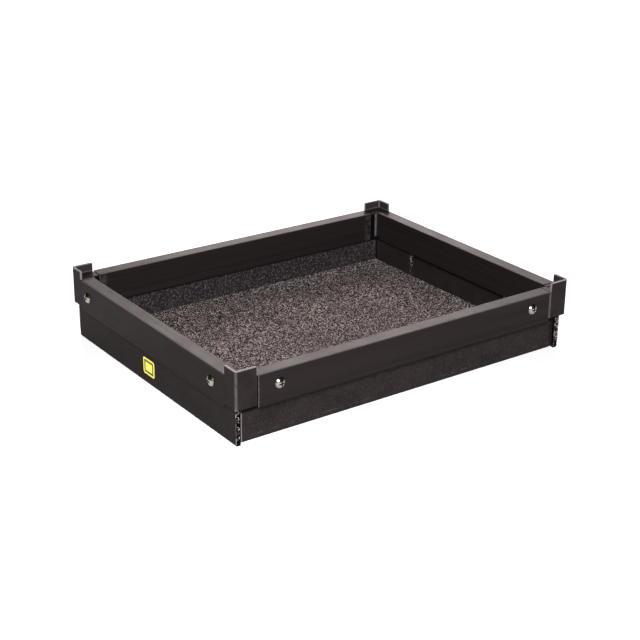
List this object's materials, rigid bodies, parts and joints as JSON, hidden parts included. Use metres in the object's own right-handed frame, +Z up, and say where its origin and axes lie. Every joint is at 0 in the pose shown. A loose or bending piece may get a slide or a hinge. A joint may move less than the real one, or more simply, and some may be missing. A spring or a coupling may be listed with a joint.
{
  "type": "component storage tray",
  "caption": "Shallow open tray folded from fluted plastic board, with U-section edge rails, four stacking corner posts, screws and a foam floor lining.",
  "frame": {"origin": "middle of the tray's underside, level with the surface that it stands on", "axes": "+X along the long walls towards the right, +Y from the front towards the back, +Z up"},
  "size_m": [0.4058, 0.3178, 0.076],
  "materials": {
    "board": "black carbon-filled fluted board, satin with a fine grain",
    "rail": "extruded black plastic, satin",
    "corner": "moulded black plastic, satin",
    "foam": "coarse open-cell foam, dark grey-brown",
    "screw": "nickel plated"
  },
  "bodies": {
    "root": {"tray_body": "board", "foam_pad": "foam", "front_rail": "rail", "back_rail": "rail", "left_rail": "rail", "right_rail": "rail", "corner_front_left": "corner", "corner_front_right": "corner", "corner_back_left": "corner", "corner_back_right": "corner", "screw_front_left": "screw", "screw_front_right": "screw", "screw_back_left": "screw", "screw_back_right": "screw", "screw_left_front": "screw", "screw_left_back": "screw", "screw_right_front": "screw", "screw_right_back": "screw"}
  },
  "joints": []
}
